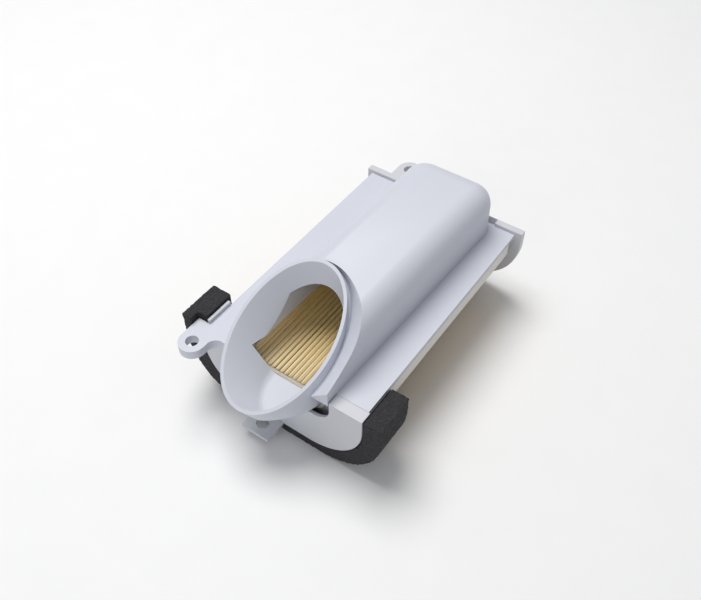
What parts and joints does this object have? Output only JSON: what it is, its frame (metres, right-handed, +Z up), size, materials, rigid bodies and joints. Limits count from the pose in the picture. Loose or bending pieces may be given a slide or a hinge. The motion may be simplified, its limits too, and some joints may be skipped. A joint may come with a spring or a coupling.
{
  "type": "air filter housing",
  "caption": "Moulded air filter cartridge: an oval intake mouth and duct cover over a D-shaped trough of pleated paper, with end caps, screw ears and a foam seal strip.",
  "frame": {"origin": "on the surface that the part stands on, under the middle of its bounding box", "axes": "+Z up, the duct cover on top; +Y from the mouth to the rear; +X to the right, seen from the mouth"},
  "size_m": [0.1134, 0.1842, 0.0728],
  "materials": {
    "cover_plastic": "satin moulded",
    "cap_plastic": "satin moulded",
    "filter_paper": "matt, finely fibrous",
    "adhesive": "cured adhesive, dull",
    "seal_foam": "open-cell foam, matt",
    "tape": "thin adhesive tape"
  },
  "bodies": {
    "root": {"duct_cover": "cover_plastic", "front_end_cap": "cap_plastic", "rear_end_cap": "cap_plastic", "pleated_paper": "filter_paper", "front_paper_bed": "adhesive", "rear_paper_bed": "adhesive", "left_side_bed": "adhesive", "right_side_bed": "adhesive", "neck_seal_bead": "adhesive", "foam_seal": "seal_foam", "foam_tape": "tape"}
  },
  "joints": []
}
